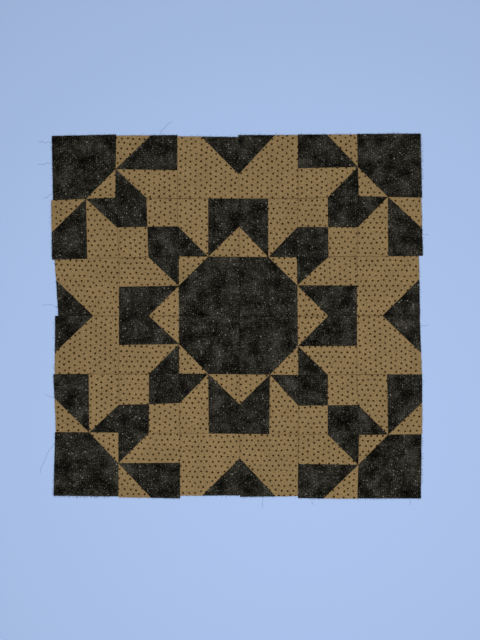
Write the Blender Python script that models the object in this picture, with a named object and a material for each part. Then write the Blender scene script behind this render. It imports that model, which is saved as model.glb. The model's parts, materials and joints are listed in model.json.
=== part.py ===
"""A pieced quilt block: one layer of patchwork lying flat, with raw edges.

The block is laid out on a chart of 12 by 12 small squares, u to the right and v down. Two chart
squares each way make one sewn unit, and 6 by 6 units make the block. The chart is symmetric, so
only its top left quarter is listed. Real sewing strays from the chart: tables give how far each
seam line and each raw edge is out. Sizes are in metres, +Z up, and the block's top edge is at +Y.
"""

import bmesh
import bpy
import numpy as np

MM = 0.001

# Chart: the pitch of its squares, as sewn, across and down the block
SQUARE_ACROSS = 50.4 * MM
SQUARE_DOWN = 50.0 * MM
SQUARES = 12
MIDDLE = SQUARES // 2
UNIT_SQUARES = 2

# Cloth and seams
SEAM_ALLOWANCE = 6.35 * MM
CLOTH_TOP = 1.2 * MM       # the cloth's top, where it bridges from seam to seam
STITCH_TOP = 0.9 * MM      # down the stitched seams and at the raw edges
PRESSED_TOP = 1.7 * MM     # over the seam allowances, which are pressed under the dark cloth
SEAM_ROLL = 1.0 * MM       # how far the cloth takes to rise out of a seam
PRESSED_FALL = 1.2 * MM    # how far it takes to fall past an allowance's edge
UNDERSIDE = 0.0

# The dark triangles at the middle of each side, on the chart
SPIKE_DEPTH = 1.17
SPIKE_HALF_WIDTH = 1.23

# Places where the strays are given: at a side, at seam lines 2, 4, 8 and 10, and at the other side
SIDE_REACH = 320 * MM
STRAY_LINES = (2, 4, 8, 10)

# How far each upright seam line strays to the right, in millimetres. At the edges, lines 3 and 9
# are where a diagonal seam runs out over the seam allowance.
# line, at the top edge, at row 2, row 4, row 8, row 10, at the bottom edge
UPRIGHT_STRAYS = (
    (1, -7.5, -8.0, -6.0, -3.5, -2.5, -2.0),
    (2, -7.0, -9.0, -2.5, -2.5, -3.5, -3.5),
    (3, 2.0, -6.5, -3.0, -2.0, -2.5, 2.0),
    (4, -4.5, -4.5, -2.0, -1.5, 0.0, 0.0),
    (5, -1.5, -2.5, -2.5, -2.5, -1.5, -1.5),
    (6, -2.0, -1.0, 0.0, 0.0, 0.5, 1.0),
    (7, -2.0, -2.0, -1.5, 1.0, 0.0, -0.5),
    (8, -2.0, -1.0, -3.5, -1.0, -1.0, -2.0),
    (9, -3.0, -1.5, -0.5, -1.5, -1.5, -9.5),
    (10, -2.5, 0.5, -2.5, -2.5, 1.0, -2.0),
    (11, -0.5, -0.5, 0.0, -2.0, 0.0, 0.5),
)

# How far each level seam line strays down, in millimetres
# line, at the left edge, at column 2, column 4, column 8, column 10, at the right edge
LEVEL_STRAYS = (
    (1, 2.5, 1.0, 3.0, -0.5, -2.5, -2.5),
    (2, 4.0, -1.0, 1.0, 1.0, -3.0, -0.5),
    (3, 8.5, -0.5, -2.0, -1.0, -0.5, 1.5),
    (4, 4.5, 1.5, -1.0, 0.5, -1.0, -2.0),
    (5, 0.0, 0.5, -1.5, -2.0, -1.5, 0.0),
    (6, -0.5, -0.5, 0.0, 0.0, -0.5, -0.5),
    (7, 1.0, -1.0, -2.5, 1.0, 0.5, 1.5),
    (8, -1.5, -2.0, -2.5, 0.0, -1.0, -1.0),
    (9, -11.0, 1.0, -2.5, 2.0, 0.5, -3.5),
    (10, -3.5, -2.5, -1.5, 0.5, 1.5, 0.0),
    (11, -1.0, -0.5, -1.5, 0.5, 2.0, 2.5),
)

# How far each unit's raw edge stands out past the chart, in millimetres, at its start and its end
# unit along the side, left from and to, right from and to, top from and to, bottom from and to
RAW_EDGES = (
    (0, 15.5, 13.5, 4.5, 7.0, 5.0, 7.5, 4.5, 5.5),
    (1, 16.5, 15.0, 5.5, 8.5, 5.5, 6.5, 7.0, 9.0),
    (2, 10.5, 4.5, 1.5, 3.5, 4.5, 3.0, 4.5, 4.0),
    (3, 10.0, 10.5, 3.0, 6.5, 6.5, 6.5, 6.5, 5.0),
    (4, 13.0, 8.5, 7.0, 7.0, 7.5, 7.5, 8.5, 9.5),
    (5, 10.0, 12.5, 6.0, 5.0, 8.5, 9.0, 9.0, 9.0),
)
LEFT, RIGHT, TOP, BOTTOM = range(4)

# Passes in which a point's two strays, each read at the other's place, settle
SETTLING_PASSES = 4

# The top left quarter of the chart: each patch's cloth and corners, unit by unit
DARK, TAN = "dark_cotton", "tan_cotton"
SPIKE_BASE = MIDDLE - SPIKE_HALF_WIDTH
QUARTER = (
    (DARK, (0, 0), (2, 0), (2, 1), (1, 2), (0, 2)),
    (TAN, (2, 1), (2, 2), (1, 2)),
    (TAN, (2, 0), (3, 0), (2, 1)),
    (DARK, (3, 0), (4, 0), (4, 1), (2, 1)),
    (TAN, (2, 1), (4, 1), (4, 2), (3, 2)),
    (DARK, (2, 1), (3, 2), (2, 2)),
    (TAN, (4, 0), (SPIKE_BASE, 0), (6, SPIKE_DEPTH), (6, 2), (4, 2)),
    (DARK, (SPIKE_BASE, 0), (6, 0), (6, SPIKE_DEPTH)),
    (TAN, (0, 2), (1, 2), (0, 3)),
    (DARK, (1, 2), (1, 4), (0, 4), (0, 3)),
    (TAN, (1, 2), (2, 3), (2, 4), (1, 4)),
    (DARK, (1, 2), (2, 2), (2, 3)),
    (DARK, (2, 2), (3, 2), (3, 3), (2, 3)),
    (TAN, (3, 2), (4, 2), (4, 3), (3, 3)),
    (TAN, (2, 3), (3, 3), (3, 4), (2, 4)),
    (DARK, (3, 3), (4, 3), (4, 4), (3, 4)),
    (TAN, (4, 2), (5, 2), (5, 4), (4, 3)),
    (DARK, (4, 3), (5, 4), (4, 4)),
    (DARK, (5, 2), (6, 2), (6, 3), (5, 4)),
    (TAN, (6, 3), (6, 4), (5, 4)),
    (TAN, (0, 4), (2, 4), (2, 6), (SPIKE_DEPTH, 6), (0, SPIKE_BASE)),
    (DARK, (0, SPIKE_BASE), (SPIKE_DEPTH, 6), (0, 6)),
    (TAN, (2, 4), (3, 4), (4, 5), (2, 5)),
    (DARK, (3, 4), (4, 4), (4, 5)),
    (DARK, (2, 5), (4, 5), (3, 6), (2, 6)),
    (TAN, (4, 5), (4, 6), (3, 6)),
    (DARK, (5, 4), (6, 4), (6, 6), (4, 6), (4, 5)),
    (TAN, (4, 4), (5, 4), (4, 5)),
)

# Colours of the two cottons, as linear red, green and blue
DARK_COLOUR = (0.019, 0.018, 0.015, 1.0)
TAN_COLOUR = (0.262, 0.174, 0.080, 1.0)
COTTON_ROUGHNESS = 0.9

# Places nearer than this are one place, in metres or in chart squares
SAME_PLACE = 1e-7


def all_patches():
    """Each patch of the block as its cloth and its corners on the chart, in the same turning sense."""
    patches = []
    for cloth, *corners in QUARTER:
        for flip_across in (False, True):
            for flip_down in (False, True):
                flipped = [
                    (SQUARES - u if flip_across else u, SQUARES - v if flip_down else v)
                    for u, v in corners
                ]
                if flip_across != flip_down:
                    flipped.reverse()
                patches.append((cloth, flipped))
    return patches


def points_between(start, end, points):
    """The points that lie on the straight line from start to end, in order, without its ends."""
    origin = np.array(start, float)
    along = np.array(end, float) - origin
    length = np.linalg.norm(along)
    found = []
    for point in points:
        offset = np.array(point, float) - origin
        reach = offset @ along / length
        aside = abs(offset[0] * along[1] - offset[1] * along[0]) / length
        if aside < SAME_PLACE and SAME_PLACE < reach < length - SAME_PLACE:
            found.append((reach, point))
    return [point for _, point in sorted(found)]


def filled_in(chain, points):
    """A chain of points with those that lie between them put in, and its last point left off."""
    filled = []
    for start, end in zip(chain, chain[1:]):
        filled += [start] + points_between(start, end, points)
    return filled


def with_next(items):
    """Each item of a closed round, with the one after it."""
    return zip(items, items[1:] + items[:1])


def stray(table, place, across, square):
    """How far a seam line, or a place between two, is out at a distance along it."""
    stations = [-SIDE_REACH]
    stations += [(line - MIDDLE) * square for line in STRAY_LINES]
    stations += [SIDE_REACH]
    lines = [row[0] for row in table]
    out = [np.interp(across, stations, row[1:]) for row in table]
    return np.interp(place, lines, out) * MM


def seam_x(u, y):
    return (u - MIDDLE) * SQUARE_ACROSS + stray(UPRIGHT_STRAYS, u, y, SQUARE_DOWN)


def seam_y(v, x):
    return (v - MIDDLE) * SQUARE_DOWN + stray(LEVEL_STRAYS, v, x, SQUARE_ACROSS)


def raw_reach(side, unit, place, square):
    """How far from the middle the raw edge of a unit stands, at a place along that side."""
    _, *reaches = RAW_EDGES[unit]
    start, end = reaches[2 * side], reaches[2 * side + 1]
    first = unit * UNIT_SQUARES
    past_chart = np.interp(place, (first, first + UNIT_SQUARES), (start, end)) * MM
    return MIDDLE * square + past_chart


def placed(u, v, column, row):
    """The real place of a chart point that belongs to the unit in this column and row, y down."""
    on_side = {0: -1, SQUARES: 1}
    x, y = seam_x(u, 0.0), seam_y(v, 0.0)
    for _ in range(SETTLING_PASSES):
        if u in on_side:
            side = LEFT if u == 0 else RIGHT
            x = on_side[u] * raw_reach(side, row, v, SQUARE_ACROSS)
        else:
            x = seam_x(u, y)
        if v in on_side:
            side = TOP if v == 0 else BOTTOM
            y = on_side[v] * raw_reach(side, column, u, SQUARE_DOWN)
        else:
            y = seam_y(v, x)
    return float(x), float(y)


def unit_of(corners):
    """The column and row of the sewn unit that holds a patch."""
    middle = np.mean(np.array(corners, float), axis=0)
    return int(middle[0] // UNIT_SQUARES), int(middle[1] // UNIT_SQUARES)


def real_patches():
    """Each patch as its cloth and its sides, with every point that a neighbour has on them."""
    charted = all_patches()
    chart_points = sorted({corner for _, corners in charted for corner in corners})
    outlines = []
    for cloth, corners in charted:
        column, row = unit_of(corners)
        sides = [filled_in([start, end], chart_points) for start, end in with_next(corners)]
        outlines.append((cloth, [[placed(u, v, column, row) for u, v in side] for side in sides]))
    points = sorted({point for _, sides in outlines for side in sides for point in side})
    return [
        (cloth, [filled_in(side + after[:1], points) for side, after in with_next(sides)])
        for cloth, sides in outlines
    ]


def drawn_in(corners, distance):
    """The outline of a convex patch moved inwards by a distance."""
    points = np.array(corners, float)
    along = np.roll(points, -1, axis=0) - points
    along /= np.linalg.norm(along, axis=1, keepdims=True)
    area = np.sum(points[:, 0] * np.roll(points[:, 1], -1) - points[:, 1] * np.roll(points[:, 0], -1))
    turn = 1.0 if area > 0 else -1.0
    inwards = turn * np.stack((-along[:, 1], along[:, 0]), axis=1)
    moved = []
    for k in range(len(points)):
        before = k - 1
        bisector = inwards[before] + inwards[k]
        bisector /= 1.0 + inwards[before] @ inwards[k]
        moved.append(points[k] + bisector * distance)
    return moved


def new_material(name, colour):
    material = bpy.data.materials.new(name)
    material.use_nodes = True
    shader = material.node_tree.nodes["Principled BSDF"]
    shader.inputs["Base Color"].default_value = colour
    shader.inputs["Roughness"].default_value = COTTON_ROUGHNESS
    material.diffuse_color = colour
    return material


def add_patch(model, found, cloth, sides, slot):
    """One patch of the top: its outer points on the seams, and rings that rise from them."""

    def vertex(point, height):
        key = (round(point[0] / SAME_PLACE), round(point[1] / SAME_PLACE))
        if key not in found:
            found[key] = model.verts.new((point[0], -point[1], height))
        return found[key]

    corners = [side[0] for side in sides]
    rings = [(SEAM_ROLL, CLOTH_TOP)]
    if cloth == DARK:
        rings = [
            (SEAM_ROLL, PRESSED_TOP),
            (SEAM_ALLOWANCE, PRESSED_TOP),
            (SEAM_ALLOWANCE + PRESSED_FALL, CLOTH_TOP),
        ]
    outer = [[vertex(point, STITCH_TOP) for point in side] for side in sides]
    for distance, height in rings:
        inner = [vertex(point, height) for point in drawn_in(corners, distance)]
        for (side, after), (near, far) in zip(with_next(outer), with_next(inner)):
            model.faces.new(side + [after[0], far, near]).material_index = slot
        outer = [[point] for point in inner]
    model.faces.new([side[0] for side in outer]).material_index = slot


def close_below(model):
    """Walls down from the raw edges, and the flat underside."""
    rim = [edge for edge in model.edges if edge.is_boundary]
    walls = bmesh.ops.extrude_edge_only(model, edges=rim)["geom"]
    for item in walls:
        if isinstance(item, bmesh.types.BMVert):
            item.co.z = UNDERSIDE
    lower = [item for item in walls if isinstance(item, bmesh.types.BMEdge) and item.is_boundary]
    bmesh.ops.contextual_create(model, geom=lower)
    bmesh.ops.recalc_face_normals(model, faces=model.faces)


def centre_on_origin(model):
    places = np.array([vertex.co[:2] for vertex in model.verts])
    middle = (places.min(axis=0) + places.max(axis=0)) / 2
    bmesh.ops.translate(model, vec=(-middle[0], -middle[1], 0.0), verts=model.verts)


def make_quilt_top():
    model = bmesh.new()
    slots = {TAN: 0, DARK: 1}
    found = {}
    for cloth, sides in real_patches():
        add_patch(model, found, cloth, sides, slots[cloth])
    close_below(model)
    centre_on_origin(model)
    mesh = bpy.data.meshes.new("quilt_top")
    model.to_mesh(mesh)
    model.free()
    mesh.materials.append(new_material(TAN, TAN_COLOUR))
    mesh.materials.append(new_material(DARK, DARK_COLOUR))
    quilt = bpy.data.objects.new("quilt_top", mesh)
    bpy.context.scene.collection.objects.link(quilt)


for old in list(bpy.data.objects):
    bpy.data.objects.remove(old)
make_quilt_top()
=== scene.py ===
"""A pieced quilt block: one layer of patchwork lying flat, seen from straight above.

The solid's outline, seams and low relief become cloth here: six sewn rows of two printed cottons,
with the seam allowances on the back, stitches in the seams and yarns frayed from the raw edges. The
chart and its strays are the solid's own. Sizes are in metres, +Z up, the block's top edge at +Y.
"""

import json
import math
from collections import namedtuple
from itertools import pairwise, product

import bpy
import numpy as np
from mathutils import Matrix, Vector, noise
from mathutils.geometry import delaunay_2d_cdt

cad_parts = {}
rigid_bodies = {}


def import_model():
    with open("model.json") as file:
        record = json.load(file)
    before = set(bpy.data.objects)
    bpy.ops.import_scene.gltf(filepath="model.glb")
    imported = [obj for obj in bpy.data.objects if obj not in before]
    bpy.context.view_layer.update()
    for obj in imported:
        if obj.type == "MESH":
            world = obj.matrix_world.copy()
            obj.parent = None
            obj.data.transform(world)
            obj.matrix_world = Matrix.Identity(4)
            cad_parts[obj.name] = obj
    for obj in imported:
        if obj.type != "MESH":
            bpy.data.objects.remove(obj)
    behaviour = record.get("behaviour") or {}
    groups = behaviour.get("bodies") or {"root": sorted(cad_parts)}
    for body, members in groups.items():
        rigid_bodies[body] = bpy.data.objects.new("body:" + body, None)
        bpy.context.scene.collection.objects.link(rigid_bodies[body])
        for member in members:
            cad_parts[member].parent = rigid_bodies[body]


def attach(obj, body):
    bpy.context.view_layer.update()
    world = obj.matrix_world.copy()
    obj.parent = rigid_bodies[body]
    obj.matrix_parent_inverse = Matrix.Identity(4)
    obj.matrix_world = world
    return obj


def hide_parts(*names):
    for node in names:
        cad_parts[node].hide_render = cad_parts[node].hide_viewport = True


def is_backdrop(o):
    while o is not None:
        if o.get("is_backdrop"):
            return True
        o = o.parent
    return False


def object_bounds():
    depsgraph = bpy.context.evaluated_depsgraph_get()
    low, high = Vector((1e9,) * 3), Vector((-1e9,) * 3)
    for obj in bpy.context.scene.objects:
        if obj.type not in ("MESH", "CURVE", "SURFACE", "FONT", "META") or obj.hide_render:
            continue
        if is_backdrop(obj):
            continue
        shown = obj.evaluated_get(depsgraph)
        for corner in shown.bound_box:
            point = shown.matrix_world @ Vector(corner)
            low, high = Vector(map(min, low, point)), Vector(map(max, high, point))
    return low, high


for old in list(bpy.data.objects):
    bpy.data.objects.remove(old)
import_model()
cad_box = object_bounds()

CAD_NODE = "quilt_top"
BODY = "root"
MM = 0.001

# Chart: the pitch of its squares, as sewn, across and down the block
SQUARE_ACROSS = 50.4 * MM
SQUARE_DOWN = 50.0 * MM
SQUARES = 12
MIDDLE = SQUARES // 2
UNIT_SQUARES = 2
UNITS = SQUARES // UNIT_SQUARES
# The dark triangles at the middle of each side, on the chart
SPIKE_DEPTH = 1.17
SPIKE_HALF_WIDTH = 1.23
# Strays are given at one side, at these seam lines, and at the other side
SIDE_REACH = 320 * MM
STRAY_LINES = (2, 4, 8, 10)
# How far each upright seam line strays to the right, in millimetres. At the edges, lines 3 and 9
# are where a diagonal seam runs out over the seam allowance.
# line, at the top edge, at row 2, row 4, row 8, row 10, at the bottom edge
UPRIGHT_STRAYS = (
    (1, -7.5, -8.0, -6.0, -3.5, -2.5, -2.0),
    (2, -7.0, -9.0, -2.5, -2.5, -3.5, -3.5),
    (3, 2.0, -6.5, -3.0, -2.0, -2.5, 2.0),
    (4, -4.5, -4.5, -2.0, -1.5, 0.0, 0.0),
    (5, -1.5, -2.5, -2.5, -2.5, -1.5, -1.5),
    (6, -2.0, -1.0, 0.0, 0.0, 0.5, 1.0),
    (7, -2.0, -2.0, -1.5, 1.0, 0.0, -0.5),
    (8, -2.0, -1.0, -3.5, -1.0, -1.0, -2.0),
    (9, -3.0, -1.5, -0.5, -1.5, -1.5, -9.5),
    (10, -2.5, 0.5, -2.5, -2.5, 1.0, -2.0),
    (11, -0.5, -0.5, 0.0, -2.0, 0.0, 0.5),
)
# How far each level seam line strays down, in millimetres, with lines 3 and 9 likewise at the edges
# line, at the left edge, at column 2, column 4, column 8, column 10, at the right edge
LEVEL_STRAYS = (
    (1, 2.5, 1.0, 3.0, -0.5, -2.5, -2.5),
    (2, 4.0, -1.0, 1.0, 1.0, -3.0, -0.5),
    (3, 8.5, -0.5, -2.0, -1.0, -0.5, 1.5),
    (4, 4.5, 1.5, -1.0, 0.5, -1.0, -2.0),
    (5, 0.0, 0.5, -1.5, -2.0, -1.5, 0.0),
    (6, -0.5, -0.5, 0.0, 0.0, -0.5, -0.5),
    (7, 1.0, -1.0, -2.5, 1.0, 0.5, 1.5),
    (8, -1.5, -2.0, -2.5, 0.0, -1.0, -1.0),
    (9, -11.0, 1.0, -2.5, 2.0, 0.5, -3.5),
    (10, -3.5, -2.5, -1.5, 0.5, 1.5, 0.0),
    (11, -1.0, -0.5, -1.5, 0.5, 2.0, 2.5),
)
# How far each unit's raw edge stands out past the chart, in millimetres, at its start and its end
# unit along the side, left from and to, right from and to, top from and to, bottom from and to
RAW_EDGES = (
    (0, 15.5, 13.5, 4.5, 7.0, 5.0, 7.5, 4.5, 5.5),
    (1, 16.5, 15.0, 5.5, 8.5, 5.5, 6.5, 7.0, 9.0),
    (2, 10.5, 4.5, 1.5, 3.5, 4.5, 3.0, 4.5, 4.0),
    (3, 10.0, 10.5, 3.0, 6.5, 6.5, 6.5, 6.5, 5.0),
    (4, 13.0, 8.5, 7.0, 7.0, 7.5, 7.5, 8.5, 9.5),
    (5, 10.0, 12.5, 6.0, 5.0, 8.5, 9.0, 9.0, 9.0),
)
LEFT, RIGHT, TOP, BOTTOM = range(4)
# The top left quarter of the chart: each patch's cloth and corners, unit by unit
DARK, TAN = "dark_cotton", "tan_cotton"
SPIKE_BASE = MIDDLE - SPIKE_HALF_WIDTH
QUARTER = (
    (DARK, (0, 0), (2, 0), (2, 1), (1, 2), (0, 2)),
    (TAN, (2, 1), (2, 2), (1, 2)),
    (TAN, (2, 0), (3, 0), (2, 1)),
    (DARK, (3, 0), (4, 0), (4, 1), (2, 1)),
    (TAN, (2, 1), (4, 1), (4, 2), (3, 2)),
    (DARK, (2, 1), (3, 2), (2, 2)),
    (TAN, (4, 0), (SPIKE_BASE, 0), (6, SPIKE_DEPTH), (6, 2), (4, 2)),
    (DARK, (SPIKE_BASE, 0), (6, 0), (6, SPIKE_DEPTH)),
    (TAN, (0, 2), (1, 2), (0, 3)),
    (DARK, (1, 2), (1, 4), (0, 4), (0, 3)),
    (TAN, (1, 2), (2, 3), (2, 4), (1, 4)),
    (DARK, (1, 2), (2, 2), (2, 3)),
    (DARK, (2, 2), (3, 2), (3, 3), (2, 3)),
    (TAN, (3, 2), (4, 2), (4, 3), (3, 3)),
    (TAN, (2, 3), (3, 3), (3, 4), (2, 4)),
    (DARK, (3, 3), (4, 3), (4, 4), (3, 4)),
    (TAN, (4, 2), (5, 2), (5, 4), (4, 3)),
    (DARK, (4, 3), (5, 4), (4, 4)),
    (DARK, (5, 2), (6, 2), (6, 3), (5, 4)),
    (TAN, (6, 3), (6, 4), (5, 4)),
    (TAN, (0, 4), (2, 4), (2, 6), (SPIKE_DEPTH, 6), (0, SPIKE_BASE)),
    (DARK, (0, SPIKE_BASE), (SPIKE_DEPTH, 6), (0, 6)),
    (TAN, (2, 4), (3, 4), (4, 5), (2, 5)),
    (DARK, (3, 4), (4, 4), (4, 5)),
    (DARK, (2, 5), (4, 5), (3, 6), (2, 6)),
    (TAN, (4, 5), (4, 6), (3, 6)),
    (DARK, (5, 4), (6, 4), (6, 6), (4, 6), (4, 5)),
    (TAN, (4, 4), (5, 4), (4, 5)),
)
# Places nearer than this are one place, in metres or in chart squares
SAME_PLACE = 1e-7
# The side of a point that lies on none, and the triangulation that keeps to the inside
NO_SIDE = -1
INSIDE_ONLY = 1
# Passes in which a point's two strays, each read at the other's place, settle
SETTLING_PASSES = 4

# The cloth's face: its height between seams and at raw edges, its sink in a seam, its rise over
# the allowances
CLOTH_FACE = 1.15 * MM
RAW_FACE = 0.5 * MM
SEAM_SINK = 0.45 * MM
PRESSED_RISE = 0.5 * MM
CLOTH_THICKNESS = 0.3 * MM
# The lowest that the face may lie, with the back just clear of the surface below
LOWEST_FACE = CLOTH_THICKNESS + 0.05 * MM
SEAM_ALLOWANCE = 6.35 * MM
# Over what distance it rolls out of a seam on the flat and on the pressed side, falls past the
# allowances, and comes down to a raw edge
FLAT_ROLL = 0.7 * MM
PRESSED_ROLL = 1.1 * MM
PRESSED_FALL = 1.2 * MM
RAW_FALL = 14 * MM
# Distances from a patch's outline at which its mesh has a ring of points
RINGS = tuple(ring * MM for ring in (0.12, 0.3, 0.55, 0.85, 1.25, 2.2, 4.2, 6.3, 6.9, 7.7))
# The mesh's spacing along the outline, and inside the last ring
COLUMN_WIDTH = 2.6 * MM
FILL_SPACING = 5.0 * MM
# Unevenness of the cloth and of its cut edges: wavelength, height and seed
Waves = namedtuple("Waves", "length height seed")
RAGGED_EDGE = Waves(7 * MM, 0.35 * MM, 24)
BROAD_WAVES = Waves(95 * MM, 0.35 * MM, 25)
SOFT_WAVES = Waves(28 * MM, 0.16 * MM, 26)
EDGE_LIFTS = Waves(55 * MM, 0.5 * MM, 27)
PUCKERS = Waves(9 * MM, 0.14 * MM, 28)
RAGGED_CUT = Waves(7 * MM, 0.35 * MM, 29)
# How far puckers reach from a seam, and how near a corner a raw edge stops being ragged
PUCKER_REACH = 7 * MM
RAGGED_TAPER = 6 * MM
# How far the painted shade in a seam reaches, and its share in upright seams and between the two cloths
SHADE_REACH = 0.7 * MM
UPRIGHT_SHADE, MIXED_SHADE = 0.5, 0.4
# Its share in level seams, most near the top: height on the block in millimetres, share
LEVEL_SHADES = (
    (-200, 0.05),
    (-100, 0.4),
    (0, 0.55),
    (100, 0.5),
    (200, 1.0),
)
# Seed of the random draws
SEED = 24
# How far out of true the patches' prints lie, and how far apart they were cut, in metres
PRINT_SKEW = math.radians(2.5)
PRINT_SHIFT = 3.0
# Names of what the meshes hold for their materials: a print map, a random tint per patch, and the share
# of painted shade near a seam
PRINT_MAP = "Print"
TINT, SEAM = "patch_tint", "seam_shade"
# Places in a list of materials: of a cloth's right side or its yarn, and of its wrong side
FACE_SLOTS = {TAN: 0, DARK: 1}
BACK_SLOTS = {TAN: 2, DARK: 3}

Side = namedtuple("Side", "chain corner along inward length raw pressed other")
Patch = namedtuple("Patch", "cloth row sides")


def all_patches():
    """Each patch of the block as its cloth and its corners on the chart, in the same turning sense."""
    patches = []
    for (cloth, *corners), flip_across, flip_down in product(QUARTER, (False, True), (False, True)):
        flipped = [
            (SQUARES - u if flip_across else u, SQUARES - v if flip_down else v) for u, v in corners
        ]
        if flip_across != flip_down:
            flipped.reverse()
        patches.append((cloth, flipped))
    return patches


def cross(first, second):
    return first[..., 0] * second[..., 1] - first[..., 1] * second[..., 0]


def points_between(start, end, points):
    """The points that lie on the straight line from start to end, in order, without its ends."""
    along = np.subtract(end, start)
    length = np.linalg.norm(along)
    found = []
    for point in points:
        offset = np.subtract(point, start)
        reach = offset @ along / length
        aside = abs(cross(offset, along)) / length
        if aside < SAME_PLACE and SAME_PLACE < reach < length - SAME_PLACE:
            found.append((reach, point))
    return [point for _, point in sorted(found)]


def filled_in(chain, points):
    """A chain of points with those that lie between them put in, and its last point left off."""
    filled = []
    for start, end in pairwise(chain):
        filled += [start] + points_between(start, end, points)
    return filled


def with_next(items):
    """Each item of a closed round, with the one after it."""
    return zip(items, items[1:] + items[:1])


def stray(table, place, across, square):
    """How far a seam line, or a place between two, is out at a distance along it."""
    inner = [(line - MIDDLE) * square for line in STRAY_LINES]
    stations = [-SIDE_REACH, *inner, SIDE_REACH]
    lines = [row[0] for row in table]
    out = [np.interp(across, stations, row[1:]) for row in table]
    return np.interp(place, lines, out) * MM


def seam_x(u, y):
    return (u - MIDDLE) * SQUARE_ACROSS + stray(UPRIGHT_STRAYS, u, y, SQUARE_DOWN)


def seam_y(v, x):
    return (v - MIDDLE) * SQUARE_DOWN + stray(LEVEL_STRAYS, v, x, SQUARE_ACROSS)


def raw_reach(side, unit, place, square):
    """How far from the middle the raw edge of a unit stands, at a place along that side."""
    first, column = unit * UNIT_SQUARES, 2 * side + 1
    reaches = RAW_EDGES[unit][column:column + 2]
    return MIDDLE * square + np.interp(place, (first, first + UNIT_SQUARES), reaches) * MM


def placed(u, v, column, row):
    """The real place of a chart point that belongs to the unit in this column and row, y down."""
    on_side = {0: -1, SQUARES: 1}
    x, y = seam_x(u, 0.0), seam_y(v, 0.0)
    for _ in range(SETTLING_PASSES):
        if u in on_side:
            x = on_side[u] * raw_reach(RIGHT if u else LEFT, row, v, SQUARE_ACROSS)
        else:
            x = seam_x(u, y)
        if v in on_side:
            y = on_side[v] * raw_reach(BOTTOM if v else TOP, column, u, SQUARE_DOWN)
        else:
            y = seam_y(v, x)
    return float(x), float(y)


def charted_outlines():
    """Each patch as its cloth, its unit and its sides, with every neighbour's point on them, y down."""
    charted = all_patches()
    chart_points = sorted({corner for _, corners in charted for corner in corners})
    outlines = []
    for cloth, corners in charted:
        column, row = (int(middle // UNIT_SQUARES) for middle in np.mean(corners, axis=0))
        sides = [filled_in([start, end], chart_points) for start, end in with_next(corners)]
        real = [[placed(u, v, column, row) for u, v in side] for side in sides]
        outlines.append((cloth, (column, row), real))
    points = sorted({point for *_, sides in outlines for side in sides for point in side})
    return [
        (cloth, unit, [
            filled_in(side + after[:1], points) + after[:1] for side, after in with_next(sides)
        ])
        for cloth, unit, sides in outlines
    ]


def place_key(point):
    """The same whole numbers for all places that count as one."""
    return tuple(round(value / SAME_PLACE) for value in point)


def segment_key(ends):
    return frozenset(place_key(end) for end in ends)


def world_outlines():
    """The outlines turned to the frame's axes, counter-clockwise, and centred as the solid is."""
    outlines = charted_outlines()
    points = np.array([point for *_, sides in outlines for side in sides for point in side])
    across, down = (points.min(axis=0) + points.max(axis=0)) / 2
    turned = []
    for cloth, unit, sides in outlines:
        chains = [[(x - across, down - y) for x, y in side] for side in sides]
        turned.append((cloth, unit, [chain[::-1] for chain in chains[::-1]]))
    return turned


def takes_allowances(index, other, outlines):
    """Whether a seam's allowances are pressed under this patch: under the dark cloth, or by turns."""
    cloth, unit, _ = outlines[index]
    other_cloth, other_unit, _ = outlines[other]
    if cloth != other_cloth:
        return cloth == DARK
    if unit == other_unit:
        return index > other
    if unit[1] != other_unit[1]:
        return unit[1] > other_unit[1]
    return (unit[0] > other_unit[0]) == (unit[1] % 2 == 0)


def sewn_side(chain, pressed, others):
    """A side of a patch, with its first corner, its direction, its inward normal and its length."""
    corner = np.array(chain[0])
    along = np.array(chain[-1]) - corner
    length = np.sqrt((along**2).sum())
    along = along / length
    inward = np.array((-along[1], along[0]))
    return Side(chain, corner, along, inward, length, others[0] is None, pressed, others)


def sewn_patches():
    """All the patches, with what each stretch of their sides is sewn to."""
    outlines = world_outlines()
    owners = {}
    for index, (_, _, sides) in enumerate(outlines):
        for chain in sides:
            for ends in pairwise(chain):
                owners.setdefault(segment_key(ends), []).append(index)
    patches = []
    for index, (cloth, unit, chains) in enumerate(outlines):
        sides = []
        for chain in chains:
            pressed, others = [], []
            for ends in pairwise(chain):
                found = [owner for owner in owners[segment_key(ends)] if owner != index]
                pressed.append(bool(found) and takes_allowances(index, found[0], outlines))
                others.append(outlines[found[0]][0] if found else None)
            sides.append(sewn_side(chain, pressed, others))
        patches.append(Patch(cloth, unit[1], sides))
    return patches


PATCHES = sewn_patches()
# Both ends of each stretch of raw edge
RAW_STRETCHES = np.array([
    ends for patch in PATCHES for side in patch.sides if side.raw
    for ends in pairwise(side.chain)
])


def shares_along(side, points):
    """Where points are along a side, from 0 at its corner to 1."""
    return (points - side.corner) @ side.along / side.length


def drawn_in(patch, distances):
    """The corners of a patch with each side moved inwards by its own distance."""
    moved = []
    for k, side in enumerate(patch.sides):
        normals = np.array([patch.sides[k - 1].inward, side.inward])
        moved.append(side.corner + np.linalg.solve(normals, [distances[k - 1], distances[k]]))
    return np.array(moved)


def split_evenly(start, end, width):
    """The points from start to end, both included, in the same places whichever end comes first."""
    low, high = sorted((start, end))
    count = max(1, round(math.dist(low, high) / width))
    shares = np.linspace(0, 1, count + 1)[:, None]
    points = np.array(low) + (np.array(high) - np.array(low)) * shares
    return points if start == low else points[::-1]


def uneven(points, waves):
    """How high some unevenness of the cloth is at each place."""
    places = points / waves.length
    return np.array([noise.noise(Vector((x, y, waves.seed))) for x, y in places]) * waves.height


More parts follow.
